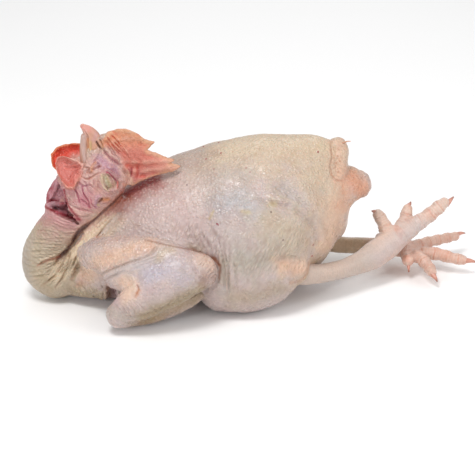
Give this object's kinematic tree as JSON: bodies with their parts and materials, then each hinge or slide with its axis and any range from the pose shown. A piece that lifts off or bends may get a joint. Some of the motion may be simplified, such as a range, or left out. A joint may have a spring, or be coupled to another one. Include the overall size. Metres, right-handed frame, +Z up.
{
  "type": "whole raw chicken",
  "caption": "Whole raw yellow-skinned chicken, plucked, lying on its breast with the neck folded back, the head and comb on the shoulder, the wings folded and the feet stretched out behind.",
  "frame": {"origin": "on the flat spot under the breast that the bird lies on", "axes": "+X towards the tail, -Y to the bird's left side, +Z up"},
  "size_m": [0.3912, 0.196, 0.1569],
  "materials": {
    "skin": "moist, pimpled skin"
  },
  "bodies": {
    "root": {"chicken": "skin"}
  },
  "joints": []
}
